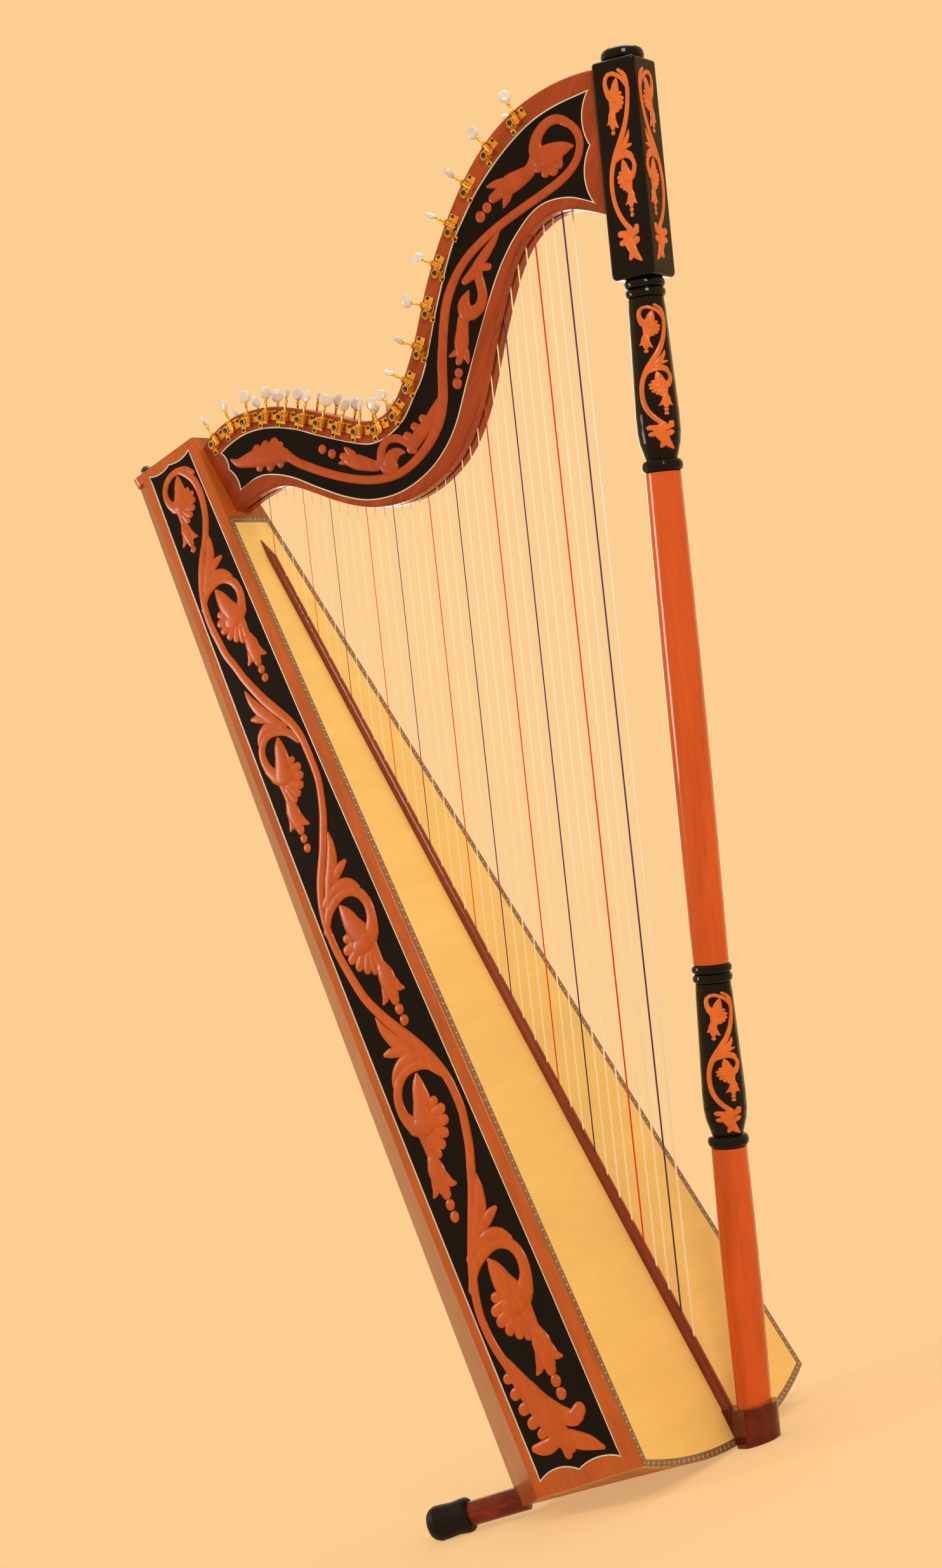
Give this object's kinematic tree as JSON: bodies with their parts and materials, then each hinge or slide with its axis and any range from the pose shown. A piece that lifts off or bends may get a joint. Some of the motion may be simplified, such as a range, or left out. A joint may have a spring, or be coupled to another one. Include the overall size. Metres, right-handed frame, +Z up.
{
  "type": "harp",
  "caption": "Standing Latin harp with a tapered soundbox, curved neck with geared tuning keys, turned pillar, nylon strings and rear feet.",
  "frame": {"origin": "centre of the flat underside of the foot block, on the floor", "axes": "+X from the soundbox towards the pillar, +Y to the far side, +Z up"},
  "size_m": [0.8619, 0.396, 1.5518],
  "materials": {
    "spruce": "satin lacquer",
    "dark_wood": "gloss lacquer",
    "cedar": "gloss lacquer",
    "cedar_dark": "gloss lacquer",
    "neck_wood": "gloss lacquer",
    "black_lacquer": "high gloss black lacquer",
    "shaft_wood": "gloss lacquer",
    "foot_wood": "gloss lacquer",
    "leg_wood": "gloss lacquer",
    "gold_metal": "polished gold plating",
    "black_steel": "satin black",
    "pearl": "pearl gloss",
    "bone": "satin",
    "nylon_natural": "clear gloss",
    "nylon_red": "gloss",
    "nylon_blue": "gloss",
    "rubber": "matte",
    "black_knob": "gloss"
  },
  "bodies": {
    "harp": {"soundboard": "spruce", "string_rib": "dark_wood", "near_side_panel": "cedar", "far_side_panel": "cedar", "strap_knob": "black_knob", "back_staves": "cedar", "top_block": "cedar", "base_board": "cedar_dark", "soundboard_braces": "spruce", "neck_laminations": "neck_wood", "nut_bars": "bone", "natural_strings": "nylon_natural", "red_strings": "nylon_red", "blue_strings": "nylon_blue", "machine_frames": "gold_metal", "machine_screws": "black_steel", "string_posts": "gold_metal", "pillar_capital": "black_lacquer", "pillar_vases": "black_lacquer", "pillar_shafts": "shaft_wood", "pillar_foot_block": "foot_wood", "rear_legs": "leg_wood", "rubber_feet": "rubber"},
    "key_01": {"tuning_key_01": "pearl"},
    "key_02": {"tuning_key_02": "pearl"},
    "key_03": {"tuning_key_03": "pearl"},
    "key_04": {"tuning_key_04": "pearl"},
    "key_05": {"tuning_key_05": "pearl"},
    "key_06": {"tuning_key_06": "pearl"},
    "key_07": {"tuning_key_07": "pearl"},
    "key_08": {"tuning_key_08": "pearl"},
    "key_09": {"tuning_key_09": "pearl"},
    "key_10": {"tuning_key_10": "pearl"},
    "key_11": {"tuning_key_11": "pearl"},
    "key_12": {"tuning_key_12": "pearl"},
    "key_13": {"tuning_key_13": "pearl"},
    "key_14": {"tuning_key_14": "pearl"},
    "key_15": {"tuning_key_15": "pearl"},
    "key_16": {"tuning_key_16": "pearl"},
    "key_17": {"tuning_key_17": "pearl"},
    "key_18": {"tuning_key_18": "pearl"},
    "key_19": {"tuning_key_19": "pearl"},
    "key_20": {"tuning_key_20": "pearl"},
    "key_21": {"tuning_key_21": "pearl"},
    "key_22": {"tuning_key_22": "pearl"},
    "key_23": {"tuning_key_23": "pearl"},
    "key_24": {"tuning_key_24": "pearl"},
    "key_25": {"tuning_key_25": "pearl"},
    "key_26": {"tuning_key_26": "pearl"},
    "key_27": {"tuning_key_27": "pearl"},
    "key_28": {"tuning_key_28": "pearl"},
    "key_29": {"tuning_key_29": "pearl"},
    "key_30": {"tuning_key_30": "pearl"},
    "key_31": {"tuning_key_31": "pearl"},
    "key_32": {"tuning_key_32": "pearl"},
    "key_33": {"tuning_key_33": "pearl"},
    "key_34": {"tuning_key_34": "pearl"},
    "key_35": {"tuning_key_35": "pearl"},
    "key_36": {"tuning_key_36": "pearl"},
    "key_37": {"tuning_key_37": "pearl"}
  },
  "joints": [
    {"name": "turn_01", "type": "hinge", "parent": "harp", "child": "key_01", "pos_m": [-0.26017, -0.0225, 1.3602], "axis": [-0.2811, 0, 0.9597], "continuous": true},
    {"name": "turn_02", "type": "hinge", "parent": "harp", "child": "key_02", "pos_m": [-0.246, 0.0225, 1.3632], "axis": [-0.135, 0, 0.9908], "continuous": true},
    {"name": "turn_03", "type": "hinge", "parent": "harp", "child": "key_03", "pos_m": [-0.23155, -0.0225, 1.3642], "axis": [-0.0055, 0, 1], "continuous": true},
    {"name": "turn_04", "type": "hinge", "parent": "harp", "child": "key_04", "pos_m": [-0.21707, 0.0225, 1.36344], "axis": [0.1076, 0, 0.9942], "continuous": true},
    {"name": "turn_05", "type": "hinge", "parent": "harp", "child": "key_05", "pos_m": [-0.20276, -0.0225, 1.36115], "axis": [0.2047, 0, 0.9788], "continuous": true},
    {"name": "turn_06", "type": "hinge", "parent": "harp", "child": "key_06", "pos_m": [-0.18871, 0.0225, 1.35759], "axis": [0.2847, 0, 0.9586], "continuous": true},
    {"name": "turn_07", "type": "hinge", "parent": "harp", "child": "key_07", "pos_m": [-0.17498, -0.0225, 1.35294], "axis": [0.3554, 0, 0.9347], "continuous": true},
    {"name": "turn_08", "type": "hinge", "parent": "harp", "child": "key_08", "pos_m": [-0.16163, 0.0225, 1.34728], "axis": [0.426, 0, 0.9047], "continuous": true},
    {"name": "turn_09", "type": "hinge", "parent": "harp", "child": "key_09", "pos_m": [-0.14875, -0.0225, 1.34063], "axis": [0.4873, 0, 0.8732], "continuous": true},
    {"name": "turn_10", "type": "hinge", "parent": "harp", "child": "key_10", "pos_m": [-0.13625, 0.0225, 1.33328], "axis": [0.5214, 0, 0.8533], "continuous": true},
    {"name": "turn_11", "type": "hinge", "parent": "harp", "child": "key_11", "pos_m": [-0.12394, -0.0225, 1.32562], "axis": [0.5343, 0, 0.8453], "continuous": true},
    {"name": "turn_12", "type": "hinge", "parent": "harp", "child": "key_12", "pos_m": [-0.11175, 0.0225, 1.31777], "axis": [0.5491, 0, 0.8358], "continuous": true},
    {"name": "turn_13", "type": "hinge", "parent": "harp", "child": "key_13", "pos_m": [-0.09972, -0.0225, 1.30967], "axis": [0.5675, 0, 0.8233], "continuous": true},
    {"name": "turn_14", "type": "hinge", "parent": "harp", "child": "key_14", "pos_m": [-0.08784, 0.0225, 1.30136], "axis": [0.5761, 0, 0.8174], "continuous": true},
    {"name": "turn_15", "type": "hinge", "parent": "harp", "child": "key_15", "pos_m": [-0.07597, -0.0225, 1.29303], "axis": [0.5703, 0, 0.8214], "continuous": true},
    {"name": "turn_16", "type": "hinge", "parent": "harp", "child": "key_16", "pos_m": [-0.06389, 0.0225, 1.28502], "axis": [0.5246, 0, 0.8514], "continuous": true},
    {"name": "turn_17", "type": "hinge", "parent": "harp", "child": "key_17", "pos_m": [-0.05112, -0.0225, 1.27817], "axis": [0.406, 0, 0.9139], "continuous": true},
    {"name": "turn_18", "type": "hinge", "parent": "harp", "child": "key_18", "pos_m": [-0.03738, 0.0225, 1.27361], "axis": [0.2162, 0, 0.9763], "continuous": true},
    {"name": "turn_19", "type": "hinge", "parent": "harp", "child": "key_19", "pos_m": [-0.023, -0.0225, 1.27195], "axis": [0.0105, 0, 0.9999], "continuous": true},
    {"name": "turn_20", "type": "hinge", "parent": "harp", "child": "key_20", "pos_m": [-0.00793, 0.0225, 1.27357], "axis": [-0.2297, 0, 0.9733], "continuous": true},
    {"name": "turn_21", "type": "hinge", "parent": "harp", "child": "key_21", "pos_m": [0.00744, -0.0225, 1.27968], "axis": [-0.4902, 0, 0.8716], "continuous": true},
    {"name": "turn_22", "type": "hinge", "parent": "harp", "child": "key_22", "pos_m": [0.02215, 0.0225, 1.29001], "axis": [-0.6363, 0, 0.7715], "continuous": true},
    {"name": "turn_23", "type": "hinge", "parent": "harp", "child": "key_23", "pos_m": [0.03659, -0.0225, 1.30294], "axis": [-0.6894, 0, 0.7243], "continuous": true},
    {"name": "turn_24", "type": "hinge", "parent": "harp", "child": "key_24", "pos_m": [0.0512, 0.0225, 1.31773], "axis": [-0.732, 0, 0.6813], "continuous": true},
    {"name": "turn_25", "type": "hinge", "parent": "harp", "child": "key_25", "pos_m": [0.06583, -0.0225, 1.3344], "axis": [-0.7691, 0, 0.6391], "continuous": true},
    {"name": "turn_26", "type": "hinge", "parent": "harp", "child": "key_26", "pos_m": [0.08049, 0.0225, 1.35287], "axis": [-0.794, 0, 0.6079], "continuous": true},
    {"name": "turn_27", "type": "hinge", "parent": "harp", "child": "key_27", "pos_m": [0.09547, -0.0225, 1.37251], "axis": [-0.7905, 0, 0.6125], "continuous": true},
    {"name": "turn_28", "type": "hinge", "parent": "harp", "child": "key_28", "pos_m": [0.111, 0.0225, 1.39171], "axis": [-0.7627, 0, 0.6468], "continuous": true},
    {"name": "turn_29", "type": "hinge", "parent": "harp", "child": "key_29", "pos_m": [0.1275, -0.0225, 1.41009], "axis": [-0.7257, 0, 0.688], "continuous": true},
    {"name": "turn_30", "type": "hinge", "parent": "harp", "child": "key_30", "pos_m": [0.14488, 0.0225, 1.42763], "axis": [-0.6958, 0, 0.7182], "continuous": true},
    {"name": "turn_31", "type": "hinge", "parent": "harp", "child": "key_31", "pos_m": [0.16296, -0.0225, 1.44447], "axis": [-0.667, 0, 0.745], "continuous": true},
    {"name": "turn_32", "type": "hinge", "parent": "harp", "child": "key_32", "pos_m": [0.18172, 0.0225, 1.46052], "axis": [-0.6305, 0, 0.7762], "continuous": true},
    {"name": "turn_33", "type": "hinge", "parent": "harp", "child": "key_33", "pos_m": [0.20136, -0.0225, 1.47549], "axis": [-0.5792, 0, 0.8152], "continuous": true},
    {"name": "turn_34", "type": "hinge", "parent": "harp", "child": "key_34", "pos_m": [0.22203, 0.0225, 1.48901], "axis": [-0.512, 0, 0.859], "continuous": true},
    {"name": "turn_35", "type": "hinge", "parent": "harp", "child": "key_35", "pos_m": [0.24385, -0.0225, 1.50055], "axis": [-0.4175, 0, 0.9087], "continuous": true},
    {"name": "turn_36", "type": "hinge", "parent": "harp", "child": "key_36", "pos_m": [0.26689, 0.0225, 1.50943], "axis": [-0.2973, 0, 0.9548], "continuous": true},
    {"name": "turn_37", "type": "hinge", "parent": "harp", "child": "key_37", "pos_m": [0.2909, -0.0225, 1.51513], "axis": [-0.1671, 0, 0.9859], "continuous": true}
  ]
}
